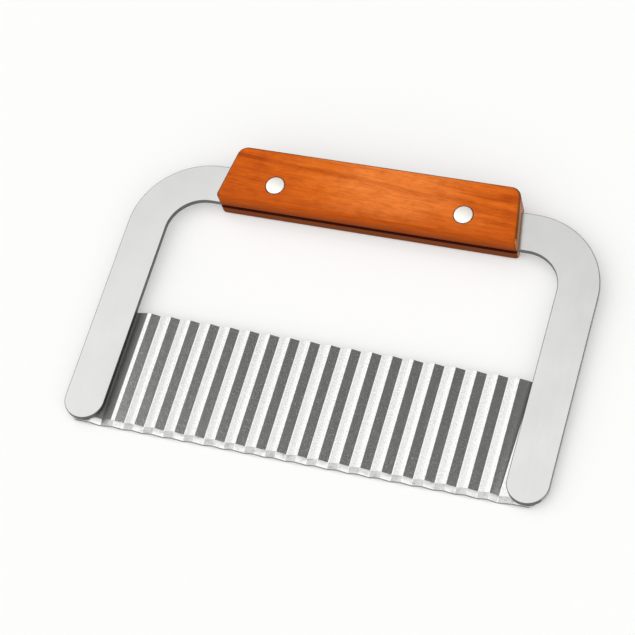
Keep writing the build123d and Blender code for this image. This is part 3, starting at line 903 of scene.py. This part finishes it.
def cut_kerf(bm, places, handle, sheet):
    """Saws the slot for the bar up from the underside, through both ends."""
    half = sheet.thickness / 2 + handle.kerf_side_gap
    low_z = places.frame_middle_z - half
    high_z = places.frame_middle_z + half
    top_y = sheet.height + handle.kerf_end_gap
    plane_cut(bm, Z, low_z)
    plane_cut(bm, Z, high_z)

    def between():
        return [f for f in bm.faces if low_z < f.calc_center_median().z < high_z]

    def open_edges(along, place):
        return [e for e in bm.edges if e.is_boundary
                and all(abs(v.co.dot(along) - place) < NEAR for v in e.verts)]

    plane_cut(bm, Y, top_y, between())
    slot = [f for f in between() if f.calc_center_median().y < top_y]
    bmesh.ops.delete(bm, geom=slot, context="FACES")
    made = bmesh.ops.bridge_loops(bm, edges=open_edges(Y, top_y))["faces"]
    for z in (low_z, high_z):
        made += bmesh.ops.edgeloop_fill(bm, edges=open_edges(Z, z))["faces"]
    # The kerf's faces are painted nearly black: painted shade in the slot.
    for face in made:
        face.material_index = RECESS_PAINTED_SHADE


def wood_finish(face):
    """Which finish a face of the handle has."""
    if abs(face.normal.z) > NEARLY_FLAT:
        return VARNISHED
    rounded = abs(face.normal.z) > BARELY
    # Rounded faces on the top and the left take painted shade.
    if rounded and (face.normal.x < -BARELY or face.normal.y > BARELY):
        return RIM_PAINTED_SHADE
    # The underside takes painted shade.
    return SAWN_END if abs(face.normal.x) > STEEP else UNDERSIDE_PAINTED_SHADE


class CUTTER_OT_handle(bpy.types.Operator):
    """Builds the wooden handle"""
    bl_idname = "cutter.handle"
    bl_label = "Handle"

    def execute(self, context):
        scene = context.scene
        places = Places(scene)
        bm = draw_handle(places, scene.cutter_handle, scene.cutter_frame, scene.cutter_rivet)
        low_edge = places.lying() @ Vector((0.0, places.handle_bottom_y, 0.0))
        finish_piece(bm, "wooden_handle", "handle",
                     handle_finishes(scene.cutter_colours, low_edge.y / MM), places.lying())
        return {"FINISHED"}


# ---- Rivets ----

def draw_rivet_half(rivet, shank):
    """A domed head, seat at height 0, spun from its outline, with a shank down the axis.

    The shank is a list of (radius, height) steps that end on the axis.
    """
    bm = bmesh.new()
    radius = rivet.head_diameter / 2
    top = rivet.rim_height + rivet.dome_height
    dome_radius = (radius ** 2 + rivet.dome_height ** 2) / (2 * rivet.dome_height)
    crown = bmesh.ops.create_vert(bm, co=Z * top)["vert"][0]
    bmesh.ops.spin(bm, geom=[crown], cent=Z * (top - dome_radius), axis=Y,
                   angle=asin(radius / dome_radius), steps=10, use_duplicate=False)
    last = max(bm.verts, key=lambda v: abs(v.co.x))
    side = 1.0 if last.co.x > 0 else -1.0
    for step_radius, height in [(radius, 0.0)] + shank:
        last = bmesh.ops.extrude_vert_indiv(bm, verts=[last])["verts"][0]
        last.co = (side * step_radius, 0.0, height)
    bmesh.ops.spin(bm, geom=list(bm.verts) + list(bm.edges), cent=(0.0, 0.0, 0.0), axis=Z,
                   angle=2 * pi, steps=64, use_merge=True, use_duplicate=False)
    bmesh.ops.remove_doubles(bm, verts=bm.verts, dist=SAME_POINT)
    bmesh.ops.recalc_face_normals(bm, faces=bm.faces)
    rim = [e for e in bm.edges if is_sharp(e)
           and all(v.co.z > rivet.rim_height / 2 for v in e.verts)]
    bevel_edges(bm, rim, rivet.rim_round, segments=4)
    return bm


def sleeve_steps(rivet, places):
    """The front half's tube: down its outside and up its bore to the blind end."""
    outer = rivet.sleeve_diameter / 2
    bore = rivet.sleeve_bore / 2
    end = rivet.sleeve_end_gap - places.rivet_grip
    blind = -rivet.bore_end
    return [(outer, 0.0), (outer, end), (bore, end), (bore, blind), (0.0, blind)]


def pin_steps(rivet, places):
    """The back half's pin, down to its chamfered end."""
    radius = rivet.sleeve_bore / 2 - rivet.pin_side_gap
    chamfer = rivet.pin_chamfer
    end = rivet.bore_end + rivet.pin_end_gap - places.rivet_grip
    return [(radius, 0.0), (radius, end + chamfer), (radius - chamfer, end), (0.0, end)]


class CUTTER_OT_rivets(bpy.types.Operator):
    """Builds both halves of both rivets"""
    bl_idname = "cutter.rivets"
    bl_label = "Rivets"

    def execute(self, context):
        scene = context.scene
        places = Places(scene)
        rivet = scene.cutter_rivet
        metal = headed_rivet_metal(scene.cutter_colours.rivet_metal)
        turned = Matrix.Rotation(pi, 4, "X")
        halves = (("sleeve", sleeve_steps(rivet, places), places.front_seat_z, Matrix()),
                  ("pin", pin_steps(rivet, places), places.back_seat_z, turned))
        for name, side in (("left", -1), ("right", 1)):
            for half, steps, z, turn in halves:
                place = Matrix.Translation((side * rivet.spacing / 2, places.rivet_y, z)) @ turn
                finish_piece(draw_rivet_half(rivet, steps), f"domed_{name}_{half}",
                             f"rivet_{name}_{half}", [metal],
                             places.lying() @ place)
        return {"FINISHED"}


# ---- Stage ----

def add_camera(scene, stage, lying):
    """The camera, close enough for the perspective of a hand-held lens."""
    data = bpy.data.cameras.new("camera")
    data.lens = stage.focal_length
    data.sensor_width = 36.0
    data.sensor_fit = "HORIZONTAL"
    data.clip_start = 0.01
    data.clip_end = 100.0
    camera = bpy.data.objects.new("camera", data)
    camera.matrix_world = (lying @ Matrix.Translation(stage.camera_place)
                           @ Euler(stage.camera_turn).to_matrix().to_4x4())
    scene.collection.objects.link(camera)
    scene.camera = camera


def add_floor(scene, rgb, glow):
    """A translucent sheet on the table top, wide enough to pass the horizon."""
    width = 8.0
    bm = flat_sheet(width, width, Vector())
    mesh = bpy.data.meshes.new("pale_floor")
    bm.to_mesh(mesh)
    bm.free()
    floor = bpy.data.objects.new("pale_floor", mesh)
    mesh.materials.append(light_table_sheet(rgb, glow))
    scene.collection.objects.link(floor)


def inside_softbox(tree, look, towards, reach, fade):
    """1 where a look lands on a round softbox and 0 beside it, with a soft edge."""
    nearness = add_node(tree, "VectorMath", (look, Vector(towards).normalized()),
                        {"operation": "DOT_PRODUCT"})
    outer, inner = cos(reach + fade / 2), cos(reach - fade / 2)
    return add_node(tree, "MapRange", (nearness, outer, inner, 0.0, 1.0), SMOOTH)


def add_room(scene, light):
    """A room with a main softbox at the left, a fill softbox at the front right and pale walls."""
    world = bpy.data.worlds.new("soft_studio")
    scene.world = world
    world.use_nodes = True
    tree = world.node_tree
    tree.nodes.clear()
    look = add_node(tree, "TexCoord").outputs["Generated"]
    parts = add_node(tree, "SeparateXYZ", (look,)).outputs
    # How far up, or back along +Y, a look points where one brightness passes into another.
    box_foot, box_top = 0.3, 0.95
    far_side, farthest = 0.38, 0.46
    backdrop_top, room_foot = 0.1, 0.2
    foot = light.left_level * light.left_foot
    main = add_node(tree, "MapRange", (parts["Z"], box_foot, box_top, foot, light.left_level))
    back = add_node(tree, "MapRange", (parts["Y"], far_side, farthest, 1.0, light.left_back),
                    SMOOTH)
    main = add_node(tree, "Math", (main, back), {"operation": "MULTIPLY"})
    on_right = inside_softbox(tree, look, light.right_direction, light.right_reach,
                              light.softbox_fade)
    on_left = inside_softbox(tree, look, light.left_direction, light.left_reach,
                             light.softbox_fade)
    low = add_node(tree, "MapRange", (parts["Z"], backdrop_top, room_foot, 1.0, 0.0), SMOOTH)
    # Each brightness lies over those before it.
    total = light.room_level
    for share, brightness in ((on_right, light.right_level), (on_left, main),
                              (low, light.horizon_level)):
        total = add_node(tree, "Mix", {"Factor": share, "A": total, "B": brightness})
    background = add_node(tree, "Background", {"Color": WHITE, "Strength": total})
    add_node(tree, "OutputWorld", {"Surface": background})


class CUTTER_OT_stage(bpy.types.Operator):
    """Adds the translucent floor, the soft light and the camera"""
    bl_idname = "cutter.stage"
    bl_label = "Stage"

    def execute(self, context):
        scene = context.scene
        stage = scene.cutter_stage
        scene.view_settings.view_transform = "Standard"
        add_camera(scene, stage, Places(scene).lying())
        add_floor(scene, scene.cutter_colours.floor_sheet, stage.floor_glow)
        add_room(scene, stage)
        return {"FINISHED"}


# ---- Add-on ----

class CUTTER_PT_cutter(bpy.types.Panel):
    """The cutter's sizes, colours and pieces"""
    bl_idname = "CUTTER_PT_cutter"
    bl_label = "Crinkle cutter"
    bl_space_type = "VIEW_3D"
    bl_region_type = "UI"
    bl_category = "Cutter"

    def draw(self, context):
        layout = self.layout
        for name, kind in GROUPS.items():
            box = layout.box()
            box.label(text=name.removeprefix("cutter_").capitalize())
            for prop in kind.__annotations__:
                box.prop(getattr(context.scene, name), prop)
        for operator in OPERATORS:
            layout.operator(operator.bl_idname)


GROUPS = {
    "cutter_frame": FrameSizes,
    "cutter_blade": BladeSizes,
    "cutter_handle": HandleSizes,
    "cutter_rivet": RivetSizes,
    "cutter_colours": CutterColours,
    "cutter_stage": StageSettings,
}
OPERATORS = (CUTTER_OT_frame, CUTTER_OT_blade, CUTTER_OT_handle, CUTTER_OT_rivets, CUTTER_OT_stage)


def register():
    for name, kind in GROUPS.items():
        bpy.utils.register_class(kind)
        setattr(bpy.types.Scene, name, bpy.props.PointerProperty(type=kind))
    for kind in OPERATORS + (CUTTER_PT_cutter,):
        bpy.utils.register_class(kind)


def unregister():
    for kind in (CUTTER_PT_cutter,) + OPERATORS[::-1]:
        bpy.utils.unregister_class(kind)
    for name, kind in GROUPS.items():
        delattr(bpy.types.Scene, name)
        bpy.utils.unregister_class(kind)


def main():
    register()
    bpy.ops.cutter.frame()
    bpy.ops.cutter.blade()
    bpy.ops.cutter.handle()
    bpy.ops.cutter.rivets()
    bpy.ops.cutter.stage()
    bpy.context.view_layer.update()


if __name__ == "__main__":
    main()
